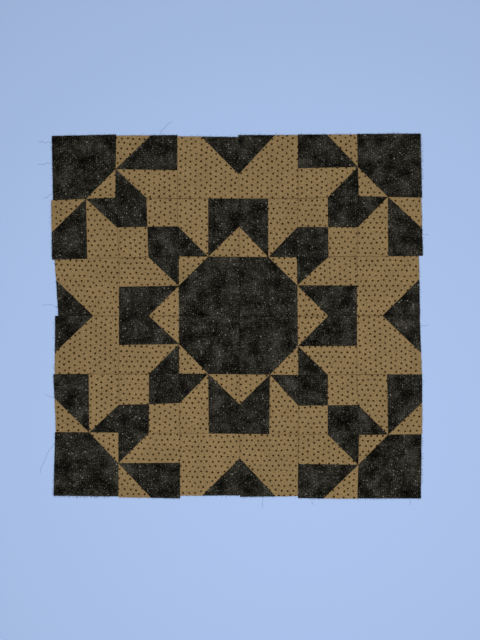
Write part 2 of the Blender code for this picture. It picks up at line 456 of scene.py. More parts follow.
def outline_of(patch):
    """The patch's outline, split finely: its sides, shares along them, strays off them and places."""
    starts, shares, strays, outline = [], [], [], []
    for k, side in enumerate(patch.sides):
        stretches = [split_evenly(*ends, COLUMN_WIDTH)[:-1] for ends in pairwise(side.chain)]
        fine = np.concatenate(stretches)
        share = shares_along(side, fine)
        straight = side.corner + side.along * (share * side.length)[:, None]
        off = fine - straight
        if side.raw:
            taper = np.clip(np.minimum(share, 1 - share) * side.length / RAGGED_TAPER, 0, 1)
            off = off + side.inward * (uneven(fine, RAGGED_EDGE) * taper)[:, None]
        starts.append(np.full(len(fine), k))
        shares.append(share)
        strays.append(off)
        outline.append(straight + off)
    return [np.concatenate(parts) for parts in (starts, shares, strays, outline)]


def ring_points(patch):
    """The patch's outline and the rings inside it, all with the same columns."""
    side_of, share, off, outline = outline_of(patch)
    rings = [outline]
    for distance in RINGS:
        inner = drawn_in(patch, [distance] * len(patch.sides))
        begin, end = inner[side_of], np.roll(inner, -1, axis=0)[side_of]
        rings.append(begin + (end - begin) * share[:, None] + off * (1 - distance / RINGS[-1]))
    distances = np.repeat([0.0, *RINGS], len(side_of))
    return np.concatenate(rings), np.tile(side_of, len(rings)), distances, len(side_of)


def fill(loop):
    """Points inside a convex loop, evenly spread, and the triangles that join them to the loop."""
    low, high = loop.min(axis=0), loop.max(axis=0)
    step_y = FILL_SPACING * math.sin(math.pi / 3)
    rows = np.arange(low[1], high[1], step_y)
    grid = [
        (x + (k % 2) * FILL_SPACING / 2, y)
        for k, y in enumerate(rows)
        for x in np.arange(low[0], high[0], FILL_SPACING)
    ]
    after = np.roll(loop, -1, axis=0)
    along = (after - loop) / np.linalg.norm(after - loop, axis=1)[:, None]
    clear = FILL_SPACING / 2
    inside = [point for point in grid if cross(along, np.array(point) - loop).min() > clear]
    points = [Vector(point) for point in (*loop, *inside)]
    border = list(range(len(loop)))
    _, _, faces, origins, _, _ = delaunay_2d_cdt(points, [], [border], INSIDE_ONLY, SAME_PLACE)
    number = [source[0] for source in origins]
    return np.array(inside).reshape(-1, 2), [[number[k] for k in face] for face in faces]


def distance_to_raw(points):
    begin, along = RAW_STRETCHES[:, 0], RAW_STRETCHES[:, 1] - RAW_STRETCHES[:, 0]
    offset = points[:, None] - begin
    share = np.clip((offset * along).sum(axis=2) / (along**2).sum(axis=1), 0, 1)
    return np.linalg.norm(offset - along * share[..., None], axis=2).min(axis=1)


def smooth(share):
    share = np.clip(share, 0, 1)
    return share * share * (3 - 2 * share)


def rolled(share):
    """The height of a rounded shoulder, from 0 at the seam to 1."""
    share = np.clip(share, 0, 1)
    return np.sqrt(1 - (1 - share) ** 2)


def seams_near(patch, points, side_of, distances):
    """For each seam of a patch, at each point: its distance, its pressed share and its painted shade."""
    for k, side in enumerate(patch.sides):
        if side.raw:
            continue
        away = np.where(side_of == k, distances, (points - side.corner) @ side.inward)
        place, ends = shares_along(side, points), shares_along(side, np.array(side.chain))
        middles = (ends[1:] + ends[:-1]) / 2
        pressed = np.interp(place, middles, np.array(side.pressed, float))
        same = np.interp(place, middles, [float(other == patch.cloth) for other in side.other])
        level_shade = np.interp(side.corner[1] / MM, *zip(*LEVEL_SHADES))
        shade = UPRIGHT_SHADE + (level_shade - UPRIGHT_SHADE) * abs(side.along[0])
        yield away, pressed, shade * (MIXED_SHADE + (1 - MIXED_SHADE) * same)


def face_heights(patch, points, side_of=NO_SIDE, distances=0.0):
    """The height of the cloth's face, and how much painted shade a seam puts on it, from 0 to 1.

    side_of and distances say which side a point is ringed from, and how far from it.
    """
    rise = sink = shade = np.zeros(len(points))
    to_seam = np.full(len(points), RINGS[-1])
    for away, pressed, strength in seams_near(patch, points, side_of, distances):
        rise = np.maximum(rise, pressed * (1 - smooth((away - SEAM_ALLOWANCE) / PRESSED_FALL)))
        roll = FLAT_ROLL + (PRESSED_ROLL - FLAT_ROLL) * pressed
        sink = np.maximum(sink, 1 - rolled(away / roll))
        # Painted shade along the seam, fading with distance from it
        shade = np.maximum(shade, strength * np.exp(-np.clip(away, 0, None) / SHADE_REACH))
        to_seam = np.minimum(to_seam, away)
    inland = smooth(distance_to_raw(points) / RAW_FALL)
    level = RAW_FACE + (CLOTH_FACE - RAW_FACE) * inland
    level = level + uneven(points, BROAD_WAVES) + uneven(points, SOFT_WAVES)
    level = level + np.clip(uneven(points, EDGE_LIFTS), 0, None) * (1 - inland)
    pucker = np.exp(-to_seam / PUCKER_REACH) - math.exp(-RINGS[-1] / PUCKER_REACH)
    level = level + uneven(points, PUCKERS) * pucker
    heights = level + rise * PRESSED_RISE * (1 - sink) - sink * SEAM_SINK
    return np.maximum(heights, LOWEST_FACE), shade


def quads(rows, columns, closed):
    """The faces of a grid of points, row by row; a closed one joins its last column to its first."""
    faces = []
    for row in range(rows - 1):
        line = [row * columns + k for k in range(columns)]
        pairs = with_next(line) if closed else pairwise(line)
        faces += [[near, beside, beside + columns, near + columns] for near, beside in pairs]
    return faces


class ClothMesh:
    """The face of a sewn row as it grows, with one point wherever two patches meet."""

    def __init__(self):
        self.points, self.shades, self.faces = [], [], []
        self.prints, self.looks, self.found = [], [], {}

    def number(self, point, height, shade, shared):
        """A point's number: a new one, or the old one where a shared point comes again."""
        fresh = len(self.points)
        number = self.found.setdefault(place_key(point), fresh) if shared else fresh
        if number == fresh:
            self.points.append((*point, height))
            self.shades.append(shade)
        return number

    def add_patch(self, patch, draw):
        points, side_of, distances, columns = ring_points(patch)
        inside, triangles = fill(points[-columns:])
        everything = np.concatenate((points, inside))
        side_of = np.concatenate((side_of, np.full(len(inside), NO_SIDE)))
        distances = np.concatenate((distances, np.full(len(inside), RINGS[-1])))
        heights, shades = face_heights(patch, everything, side_of, distances)
        numbers = [
            self.number(point, height, shade, k < columns)
            for k, (point, height, shade) in enumerate(zip(everything, heights, shades))
        ]
        last = len(RINGS) * columns
        faces = quads(len(RINGS) + 1, columns, closed=True)
        faces += [[last + k for k in face] for face in triangles]
        turn = draw.uniform(-PRINT_SKEW, PRINT_SKEW) + draw.integers(4) * math.pi / 2
        shift = draw.uniform(0, PRINT_SHIFT, 2)
        spin = np.array(((math.cos(turn), -math.sin(turn)), (math.sin(turn), math.cos(turn))))
        printed = everything @ spin + shift
        look = (patch.cloth, draw.uniform(-1, 1))
        for face in faces:
            self.faces.append([numbers[k] for k in face])
            self.prints.append([printed[k] for k in face])
            self.looks.append(look)


def rim_edges(faces):
    """The edges that only one face has, as that face turns them."""
    seen = {}
    for face in faces:
        for start, end in with_next(face):
            edge = frozenset((start, end))
            seen[edge] = None if edge in seen else (start, end)
    return [edge for edge in seen.values() if edge]


def new_object(name, data, materials=()):
    for material in materials:
        data.materials.append(material)
    made = bpy.data.objects.new(name, data)
    bpy.context.scene.collection.objects.link(made)
    return made


def new_piece(name, points, faces, slots, smooth, places, materials):
    """A piece, with its faces' material slots and smoothness, and where their corners print."""
    mesh = bpy.data.meshes.new(name)
    mesh.from_pydata(points, [], faces)
    mesh.polygons.foreach_set("material_index", slots)
    mesh.polygons.foreach_set("use_smooth", smooth)
    mesh.uv_layers.new(name=PRINT_MAP).data.foreach_set("uv", np.array(places).ravel())
    piece = new_object(name, mesh, materials)
    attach(piece, BODY)
    return piece


def turned_over(faces, count):
    """The faces again on the points of the back, and the walls round their edge."""
    backs = [[k + count for k in reversed(face)] for face in faces]
    walls = [(start, start + count, end + count, end) for start, end in rim_edges(faces)]
    return backs, walls


def closed_sheet(name, cloth, materials):
    """The row as cloth of real thickness: its face, its back, and walls round its edge."""
    count = len(cloth.points)
    tops = np.array(cloth.points)
    points = np.concatenate((tops, tops - (0, 0, CLOTH_THICKNESS)))
    backs, walls = turned_over(cloth.faces, count)
    faces = cloth.faces + backs + walls
    printed, beside = {}, {}
    for face, places, look in zip(cloth.faces, cloth.prints, cloth.looks):
        printed.update(zip(face, places))
        beside.update((edge, look) for edge in with_next(face))
    looks = cloth.looks * 2 + [beside[wall[0], wall[3]] for wall in walls]
    slots = [FACE_SLOTS[kind] for kind, _ in cloth.looks]
    slots += [BACK_SLOTS[kind] for kind, _ in looks[len(backs):]]
    smooth = [True] * (len(faces) - len(walls)) + [False] * len(walls)
    places = [place for face in cloth.prints for place in face]
    places += [place for face in cloth.prints for place in reversed(face)]
    places += [printed[k % count] for wall in walls for k in wall]
    sheet = new_piece(name, points, faces, slots, smooth, places, materials)
    tints = sheet.data.attributes.new(TINT, "FLOAT", "FACE")
    tints.data.foreach_set("value", [tint for _, tint in looks])
    shades = sheet.data.attributes.new(SEAM, "FLOAT", "POINT")
    shades.data.foreach_set("value", cloth.shades * 2)
    return sheet


class Parts:
    """The points and faces of many small closed shapes, with each face's material slot."""

    def __init__(self):
        self.points, self.faces, self.slots, self.smooth = [], [], [], []
        self.count = 0

    def add(self, points, faces, slots, flat=0):
        """Puts shapes in; so many of their faces, the last ones, are shaded flat."""
        self.faces += [[self.count + k for k in face] for face in faces]
        self.points.append(points)
        self.slots += slots
        self.smooth += [True] * (len(faces) - flat) + [False] * flat
        self.count += len(points)

    def piece(self, name, materials):
        points = np.concatenate(self.points)
        places = points[[k for face in self.faces for k in face], :2]
        return new_piece(name, points, self.faces, self.slots, self.smooth, places, materials)


# Seam allowances: the mesh's spacing along a seam and its rings' distances from it, their
# thickness, and how far they stay from a raw edge
ALLOWANCE_COLUMN = 6 * MM
ALLOWANCE_RINGS = (0.35 * MM, 1.6 * MM, 4.0 * MM, SEAM_ALLOWANCE)
ALLOWANCE_THICKNESS = 0.25 * MM
RAW_GAP = 0.4 * MM
# Where the two layers begin in the room under the face, and the most of it that each takes
LAYER_BOTTOMS = (0.08, 0.54)
MOST_OF_ROOM = 0.38


def pressed_stretches(patch):
    """The stretches of seam with their allowances under a patch: side, both ends, other cloth."""
    for k, side in enumerate(patch.sides):
        for j in np.flatnonzero(side.pressed):
            yield k, side.chain[j], side.chain[j + 1], side.other[j]


def allowance_grid(patch, k, start, end):
    """Places from a seam to the cut edge of its allowance, ring by ring, the last one ragged."""
    seam, side = split_evenly(start, end, ALLOWANCE_COLUMN), patch.sides[k]
    share = shares_along(side, seam)[:, None]
    off = seam - side.corner - side.along * share * side.length
    rings = []
    for distance in ALLOWANCE_RINGS:
        inner = drawn_in(patch, [RAW_GAP if other.raw else distance for other in patch.sides])
        begin, finish = inner[k], inner[(k + 1) % len(inner)]
        rings.append(begin + (finish - begin) * share + off)
    rings[-1] += side.inward * uneven(seam, RAGGED_CUT)[:, None]
    return np.array(rings)


def add_allowances(parts, patch):
    """The cut edges pressed under a patch: its own, and below that the cloth that it is sewn to."""
    for k, start, end, other in pressed_stretches(patch):
        grid = allowance_grid(patch, k, start, end)
        places = grid.reshape(-1, 2)
        room = face_heights(patch, places)[0] - CLOTH_THICKNESS
        tops = quads(*grid.shape[:2], closed=False)
        backs, walls = turned_over(tops, len(places))
        layers = ((other, FACE_SLOTS, BACK_SLOTS), (patch.cloth, BACK_SLOTS, FACE_SLOTS))
        for share, (cloth, up, down) in zip(LAYER_BOTTOMS, layers):
            bottom = room * share
            top = bottom + np.minimum(ALLOWANCE_THICKNESS, room * MOST_OF_ROOM)
            points = [np.column_stack((places, height)) for height in (top, bottom)]
            slots = [up[cloth]] * len(tops) + [down[cloth]] * len(backs)
            slots += [BACK_SLOTS[cloth]] * len(walls)
            parts.add(np.concatenate(points), tops + backs + walls, slots, len(walls))


# Sewing thread: a stitch's length, the pitch of stitches, and the points along one
STITCH_LENGTH, STITCH_PITCH = 2.0 * MM, 2.5 * MM
STITCH_POINTS = np.array((-1, 0, 1))
THREAD_RADIUS, THREAD_SIDES = 0.19 * MM, 4
# How deep a stitch's middle lies under the seam's face, and how much deeper its ends are
STITCH_DEPTH, STITCH_DIP = 0.14 * MM, 0.1 * MM
# Yarn ends at the raw edges: radii and steps from root to tip, pitch, lengths, rooted depth
YARN_RADII, YARN_SIDES = (0.11 * MM, 0.1 * MM, 0.05 * MM), 3
FRAY_STEPS = np.array((0.0, 0.5, 1.0))
FRAY_PITCH = 0.45 * MM
FRAY_SHORT, FRAY_LONG = (0.15 * MM, 1.6 * MM), (1.5 * MM, 5.0 * MM)
FRAY_ROOT = 0.5 * MM
# How much they lean and droop, as shares of their length, and the share of long ones
FRAY_LEAN, FRAY_DROOP = 0.35, 0.4
LONG_SHARE = 0.08
# Stretches that have frayed more: x from and to, y from and to, in millimetres, and long share
FRAYED_STRETCHES = (
    (300, 325, 230, 306, 0.4),
    (300, 325, -280, -205, 0.3),
    (-305, -215, -325, -295, 0.4),
    (-322, -300, -306, -280, 0.3),
)
# Yarns that lie half off beside the edge: chance of one on a raw side, length, gap, snaking, most
# of its side that it takes, and the share in which it comes free
LOOSE_CHANCE = 0.65
LOOSE_LENGTH, LOOSE_ASIDE = (12 * MM, 45 * MM), (0.3 * MM, 1.5 * MM)
LOOSE_SNAKE, LOOSE_TURNS = 0.3 * MM, (1.0, 4.0)
LOOSE_MOST, LOOSE_EASE = 0.8, 0.2
LOOSE_RINGS, LOOSE_RADIUS = 14, 0.1 * MM
# Height at which yarns lie on the surface under the block
LYING = 0.12 * MM
# Ravellings, in millimetres: where each leaves the edge and ends, its bow and its curls
# start x, start y, end x, end y, bow, curl, turns
RAVELLINGS = (
    (-314, 295, -337, 297, 1.5, 1.3, 2.5),
    (-314, 259, -337, 256, -1.0, 1.0, 2.0),
    (-315, 213, -329, 200, 3.5, 0.6, 1.5),
    (-308, 15, -331, 19, -2.0, 0.8, 1.5),
    (-312, -137, -326, -133, 1.5, 0.6, 1.0),
    (-314, -214, -334, -266, -3.0, 0.8, 2.0),
    (-131, 308, -110, 329, 3.5, 0.7, 1.5),
    (60, 306, 68, 312, -1.5, 0.3, 1.0),
    (309, 137, 325, 138, 1.0, 0.8, 1.5),
    (308, -16, 323, -14, -1.5, 0.6, 1.0),
    (43, -305, 42, -325, 1.0, 0.5, 1.5),
    (127, -308, 129, -320, -1.0, 0.4, 1.0),
    (292, -308, 293, -320, 1.2, 0.4, 1.0),
)
RAVELLING_RINGS, RAVELLING_RADIUS, RAVELLING_SIDES = 30, 0.12 * MM, 4
# Shares of a ravelling's length after which it curls fully, and lies on the surface
CURLING_FROM, LYING_FROM = 1 / 4, 1 / 6
# Points on each raw side among which a ravelling's root is looked for
ROOT_PLACES = 200
UP = (0.0, 0.0, 1.0)


def yarn_heights(patch, places):
    """The height of the cloth's middle, which is where its yarns come out."""
    return face_heights(patch, places)[0] - CLOTH_THICKNESS / 2


def add_tubes(parts, paths, radii, sides, slot):
    """Closed tubes along paths of equally many points; radii is one, or one for each point."""
    count, rings, _ = paths.shape
    along = np.gradient(paths, axis=1)
    across = np.cross(along, UP)
    over = np.cross(across, along)
    turns = np.arange(sides)[:, None] * 2 * math.pi / sides
    spokes = 0
    for way, turned in ((across, np.cos(turns)), (over, np.sin(turns))):
        way = way / np.linalg.norm(way, axis=2, keepdims=True)
        spokes = spokes + way[:, :, None] * turned
    points = paths[:, :, None] + spokes * np.broadcast_to(radii, rings)[:, None, None]
    tube = [[a, d, c, b] for a, b, c, d in quads(rings, sides, closed=True)]
    last = (rings - 1) * sides
    tube += [list(range(sides)), [last + k for k in reversed(range(sides))]]
    firsts = range(0, count * rings * sides, rings * sides)
    faces = [[first + k for k in face] for first in firsts for face in tube]
    parts.add(points.reshape(-1, 3), faces, [slot] * len(faces))


def stitch_paths(patch):
    """The thread of each stitch in the seams whose allowances lie under a patch."""
    for k, start, end, _ in pressed_stretches(patch):
        length = math.dist(start, end)
        count = int(length / STITCH_PITCH)
        middles = (np.arange(count) + 0.5) / max(count, 1)
        shares = middles[:, None] + STITCH_POINTS * STITCH_LENGTH / 2 / length
        places = np.array(start) + np.subtract(end, start) * shares[..., None]
        face = face_heights(patch, places.reshape(-1, 2), k)[0].reshape(shares.shape)
        height = face - STITCH_DEPTH - STITCH_DIP * abs(STITCH_POINTS)
        yield np.dstack((places, np.maximum(height, THREAD_RADIUS)))


def raw_runs(patch):
    """Each raw side of a patch, with its ragged edge as a run of points."""
    side_of, _, _, outline = outline_of(patch)
    for k, side in enumerate(patch.sides):
        if side.raw:
            on_side = np.flatnonzero(side_of == k)
            yield side, outline[[*on_side, (on_side[-1] + 1) % len(outline)]]


def run_length(run):
    return np.concatenate(([0.0], np.linalg.norm(np.diff(run, axis=0), axis=1).cumsum()))


def places_along(run, distances):
    reach = run_length(run)
    return np.column_stack([np.interp(distances, reach, run[:, axis]) for axis in range(2)])


def long_share(places):
    share = np.full(len(places), LONG_SHARE)
    x, y = places.T / MM
    for left, right, low, high, more in FRAYED_STRETCHES:
        share[(x > left) & (x < right) & (y > low) & (y < high)] = more
    return share


def fray_paths(patch, side, run, draw):
    """The yarn ends along a raw side: most are short, all lean a little and droop."""
    count = int(run_length(run)[-1] / FRAY_PITCH)
    roots = places_along(run, (np.arange(count) + draw.random(count)) * FRAY_PITCH)
    is_long = draw.random(count) < long_share(roots)
    out = np.where(is_long, draw.uniform(*FRAY_LONG, count), draw.uniform(*FRAY_SHORT, count))
    lean = draw.normal(0, FRAY_LEAN, count) * out
    reach = (out + FRAY_ROOT)[:, None] * FRAY_STEPS - FRAY_ROOT
    aside = lean[:, None] * FRAY_STEPS**2
    places = roots[:, None] - side.inward * reach[..., None] + side.along * aside[..., None]
    top = yarn_heights(patch, roots)
    low = np.maximum(top - out * FRAY_DROOP, LYING)
    return np.dstack((places, top[:, None] + (low - top)[:, None] * FRAY_STEPS))


def loose_path(patch, side, run, draw):
    """A yarn that lies just outside a raw side, with both its ends still in the cloth."""
    whole = run_length(run)[-1]
    length = min(draw.uniform(*LOOSE_LENGTH), LOOSE_MOST * whole)
    share = np.linspace(0, 1, LOOSE_RINGS)
    places = places_along(run, draw.uniform(0, whole - length) + length * share)
    free = smooth(np.minimum(share, 1 - share) / LOOSE_EASE)
    snake = np.sin(2 * math.pi * draw.uniform(*LOOSE_TURNS) * share) * LOOSE_SNAKE
    aside = (draw.uniform(*LOOSE_ASIDE) + snake + FRAY_ROOT) * free - FRAY_ROOT
    top = yarn_heights(patch, places)
    return np.column_stack((places - side.inward * aside[:, None], top + (LYING - top) * free))


def nearest_raw(place):
    """The patch whose raw edge is nearest to a place, and the nearest point of that edge."""
    found = []
    for patch in PATCHES:
        for _, run in raw_runs(patch):
            fine = places_along(run, np.linspace(0, run_length(run)[-1], ROOT_PLACES))
            gaps = np.linalg.norm(fine - place, axis=1)
            found.append((gaps.min(), patch, fine[gaps.argmin()]))
    return min(found, key=lambda item: item[0])[1:]


def ravelling_path(row):
    """One long ravelling from the raw edge, down to the surface and along it."""
    *sizes, turns = row
    start, end, (bow, curl) = np.array(sizes).reshape(3, 2) * MM
    patch, root = nearest_raw(start)
    along = (end - root) / math.dist(root, end)
    aside = np.array((-along[1], along[0]))
    root = root - along * FRAY_ROOT
    share = np.linspace(0, 1, RAVELLING_RINGS)
    bowed = 4 * bow * share * (1 - share)
    curled = curl * np.sin(2 * math.pi * turns * share) * smooth(share / CURLING_FROM)
    places = root + (end - root) * share[:, None] + aside * (bowed + curled)[:, None]
    top = yarn_heights(patch, root[None])[0]
    height = top + (LYING - top) * smooth(share / LYING_FROM)
    return patch.cloth, np.column_stack((places, height))


def polygon_area(patch):
    points = np.array([point for side in patch.sides for point in side.chain[:-1]])
    return abs(cross(points, np.roll(points, -1, axis=0)).sum()) / 2


# Numbers of the colour inputs and the colour output of a Mix node
MIX_FIRST, MIX_SECOND, MIX_RESULT = 6, 7, 2
WHITE = (1.0, 1.0, 1.0, 1.0)


class Nodes:
    """A material's nodes, put in one by one with their inputs linked or set."""

    def __init__(self, name):
        self.material = bpy.data.materials.new(name)
        self.material.use_nodes = True
        self.tree = self.material.node_tree
        self.shader = self.tree.nodes["Principled BSDF"]

    def set(self, socket, value):
        if isinstance(value, bpy.types.NodeSocket):
            self.tree.links.new(value, socket)
        else:
            socket.default_value = value

    def put(self, kind, inputs=None, **settings):
        """Puts in a node, with its inputs by name or number, and gives its outputs."""
        node = self.tree.nodes.new("ShaderNode" + kind)
        for name, value in settings.items():
            setattr(node, name, value)
        for key, value in (inputs or {}).items():
            self.set(node.inputs[key], value)
        return node.outputs

    def math(self, operation, first, second):
        return self.put("Math", {0: first, 1: second}, operation=operation)[0]

    def mapped(self, place, **changes):
        return self.put("Mapping", {"Vector": place, **changes})[0]

    def ranged(self, value, low, high, to_low=0.0, to_high=1.0):
        """A value's place between low and high, eased at both, as the same place in another range."""
        inputs = {"Value": value, "From Min": low, "From Max": high, "To Min": to_low, "To Max": to_high}
        return self.put("MapRange", inputs, interpolation_type="SMOOTHSTEP")[0]

    def mixed(self, share, first, second, blend="MIX"):
        inputs = {0: share, MIX_FIRST: first, MIX_SECOND: second}
        return self.put("Mix", inputs, data_type="RGBA", blend_type=blend)[MIX_RESULT]

    def noise(self, place, size, detail=2.0, roughness=0.5, dimensions="2D"):
        inputs = {"Vector": place, "Scale": 1 / size, "Detail": detail, "Roughness": roughness}
        return self.put("TexNoise", inputs, noise_dimensions=dimensions)[0]

    def scaled(self, colour, factor):
        """A colour made lighter or darker by a value near 1."""
        grey = self.put("CombineColor", {"Red": factor, "Green": factor, "Blue": factor})[0]
        return self.mixed(1.0, colour, grey, "MULTIPLY")

    def finished(self, colour, roughness, specular):
        """The material, once its shader has its colour and its gloss."""
        self.set(self.shader.inputs["Base Color"], colour)
        self.shader.inputs["Roughness"].default_value = roughness
        self.shader.inputs["Specular IOR Level"].default_value = specular
        return self.material


# Cloth: its yarns' pitch, how far they stand out, and its gloss
YARN_PITCH = 0.4 * MM
WEAVE_HEIGHT, WEAVE_STRENGTH = 0.05 * MM, 0.5
COTTON_ROUGHNESS = 0.85
COTTON_SPECULAR = 0.02
# How much patches differ, and how much yarns differ along the weave
PATCH_TINT = 0.03
SLUB_SIZE, SLUB_LENGTH, SLUB_CONTRAST = 0.6 * MM, 12, 0.34
# Painted shade in a seam's fold: what it multiplies the cloth's colour by, and how that varies along the
# seam
TAN_SEAM_SHADE = (0.28, 0.22, 0.16, 1.0)
DARK_SEAM_SHADE = (0.27, 0.25, 0.23, 1.0)
SEAM_PATCHES = 22 * MM
SEAM_NOISE, SEAM_STRENGTHS = (0.35, 0.65), (0.45, 1.0)
# Both prints: size of clouds and grain, detail of three kinds of noise, and a noise's usual range
CLOUD_SIZE = 30 * MM
GRAIN_SIZE = 1.8 * MM
PLAIN_DETAIL, GRAIN_DETAIL, CLOUD_DETAIL = 1.0, 2.0, 4.0
NOISE_SPREAD = (0.25, 0.75)
# Tan print: staggered pin dots, each a little out of its place
TAN_GROUND = (0.232, 0.157, 0.0715, 1.0)
TAN_BACK = (0.40, 0.29, 0.16, 1.0)
TAN_CRUMBLE = 0.6
TAN_CLOUDS, TAN_GRAINS = (0.93, 1.07), (0.62, 1.38)
DOT_COLOUR = (0.026, 0.012, 0.002, 1.0)
DOT_PITCH = 7.0 * MM
DOT_STAGGER, DOT_TURN = math.sqrt(3), math.radians(45)
DOT_RADIUS = 1.75 * MM
DOT_EDGE = 0.4 * MM
DOT_STRAY = 0.26
DOT_SIZES = 0.3 * MM
DOT_ROUGH_SIZE, DOT_ROUGHNESS = 1.2 * MM, 0.5 * MM
# The share of dots with less ink, and the least ink
WEAK_DOTS, LEAST_INK = 0.3, 0.8
# Dark print: brown black, clouded and grained, with pale specks
DARK_LOW = (0.0006, 0.0006, 0.0004, 1.0)
DARK_HIGH = (0.0565, 0.0535, 0.0405, 1.0)
DARK_BACK = (0.09, 0.085, 0.07, 1.0)
DARK_CRUMBLE = 0.7
# The grain's share in its light, the range of light that shows, and how steeply it rises
GRAIN_SHARE = 0.56
DARK_RANGE, DARK_POWER = (0.355, 0.71), 1.6
SPECK_COLOUR = (0.20, 0.19, 0.155, 1.0)
SPECK_PITCH, SPECK_STRAY = 3.4 * MM, 1.0
SPECK_RADIUS = 0.6 * MM
# Where a speck's edge begins and ends, in radii, and the lots between which it comes in
SPECK_EDGE, SPECK_LOTS = (0.4, 1.4), (0.45, 1.1)
# The share of specks that are larger, and by how much at most, in pitches
LARGE_SPECKS, SPECK_GROWTH = 0.15, 0.2
# How far the wrong side of a print loses it
BACK_FADE = 0.6


def weave_height(nodes, place):
    """A plain weave: each yarn passes over one and under the next."""
    axes = nodes.put("SeparateXYZ", {"Vector": place})
    turns = [nodes.math("MULTIPLY", axes[axis], math.pi / YARN_PITCH) for axis in range(2)]
    return nodes.math("MULTIPLY", *[nodes.math("SINE", turn, 0.0) for turn in turns])


def slubs(nodes, place):
    """How light each yarn is: fine streaks along the weave both ways, near 1."""
    streaks = [
        nodes.noise(nodes.mapped(place, Scale=stretch), SLUB_SIZE, PLAIN_DETAIL)
        for stretch in ((1 / SLUB_LENGTH, 1.0, 1.0), (1.0, 1 / SLUB_LENGTH, 1.0))
    ]
    both = nodes.math("ADD", *streaks)
    return nodes.math("ADD", nodes.math("MULTIPLY", both, SLUB_CONTRAST), 1 - SLUB_CONTRAST)


def cotton_finish(nodes, place, colour, seam_shade_colour):
    """Matt woven cotton of one colour or print, with painted shade where it folds into a seam."""
    tint, seam = (nodes.put("Attribute", attribute_name=name)["Fac"] for name in (TINT, SEAM))
    light = nodes.math("ADD", nodes.math("MULTIPLY", tint, PATCH_TINT), 1.0)
    light = nodes.math("MULTIPLY", light, slubs(nodes, place))
    # Painted shade: near each seam the colour is multiplied towards the seam's shade colour
    strength = nodes.ranged(nodes.noise(place, SEAM_PATCHES), *SEAM_NOISE, *SEAM_STRENGTHS)
    shade = nodes.mixed(nodes.math("MULTIPLY", seam, strength), WHITE, seam_shade_colour)
    colour = nodes.mixed(1.0, nodes.scaled(colour, light), shade, "MULTIPLY")
    weave = {
        "Strength": WEAVE_STRENGTH, "Distance": WEAVE_HEIGHT, "Height": weave_height(nodes, place),
    }
    nodes.set(nodes.shader.inputs["Normal"], nodes.put("Bump", weave)[0])
    return nodes.finished(colour, COTTON_ROUGHNESS, COTTON_SPECULAR)


def print_place(nodes):
    return nodes.put("UVMap", uv_map=PRINT_MAP)[0]


def clouds_and_grain(nodes, place, crumble):
    """Two noises of a print, broad and fine, each from 0 to 1."""
    cloud = nodes.noise(place, CLOUD_SIZE, CLOUD_DETAIL, crumble)
    return cloud, nodes.noise(place, GRAIN_SIZE, GRAIN_DETAIL, crumble)


def strewn(nodes, place, pitch, stray):
    """The nearest of many strewn points: how far it is in pitches, where it is, and two lots of it."""
    inputs = {"Vector": place, "Scale": 1 / pitch, "Randomness": stray}
    cells = nodes.put("TexVoronoi", inputs, voronoi_dimensions="2D")
    lots = nodes.put("SeparateColor", {"Color": cells["Color"]})
    return cells["Distance"], cells["Position"], lots[0], lots[1]


def staggered(nodes, place):
    """How far each place is from the nearest dot of a staggered spread, in metres, and two lots."""
    squeezed = nodes.mapped(place, Scale=(1 / DOT_STAGGER, 1.0, 1.0))
    turned = nodes.mapped(squeezed, Rotation=(0.0, 0.0, DOT_TURN))
    _, dot, *lots = strewn(nodes, turned, DOT_PITCH, DOT_STRAY)
    dot = nodes.mapped(dot, Rotation=(0.0, 0.0, -DOT_TURN))
    dot = nodes.mapped(dot, Scale=(DOT_STAGGER, 1.0, 1.0))
    return nodes.put("VectorMath", {0: place, 1: dot}, operation="DISTANCE")["Value"], *lots


def tan_print(name, fade=0.0):
    """Tan cotton with dark pin dots; fade is how far the wrong side loses the print."""
    nodes = Nodes(name)
    place = print_place(nodes)
    away, size, ink = staggered(nodes, place)
    rough = nodes.noise(place, DOT_ROUGH_SIZE, PLAIN_DETAIL)
    for value, reach in ((rough, DOT_ROUGHNESS), (size, DOT_SIZES)):
        change = nodes.math("MULTIPLY", nodes.math("SUBTRACT", value, 0.5), reach)
        away = nodes.math("ADD", away, change)
    inked = nodes.ranged(away, DOT_RADIUS - DOT_EDGE, DOT_RADIUS + DOT_EDGE, 1.0, 0.0)
    strength = nodes.ranged(ink, 0.0, WEAK_DOTS, LEAST_INK, 1.0)
    inked = nodes.math("MULTIPLY", inked, nodes.math("MULTIPLY", strength, 1 - fade))
    cloud, grain = clouds_and_grain(nodes, place, TAN_CRUMBLE)
    cloud = nodes.ranged(cloud, *NOISE_SPREAD, *TAN_CLOUDS)
    grain = nodes.ranged(grain, *NOISE_SPREAD, *TAN_GRAINS)
    ground = nodes.mixed(fade, TAN_GROUND, TAN_BACK)
    ground = nodes.scaled(ground, nodes.math("MULTIPLY", cloud, grain))
    return cotton_finish(nodes, place, nodes.mixed(inked, ground, DOT_COLOUR), TAN_SEAM_SHADE)


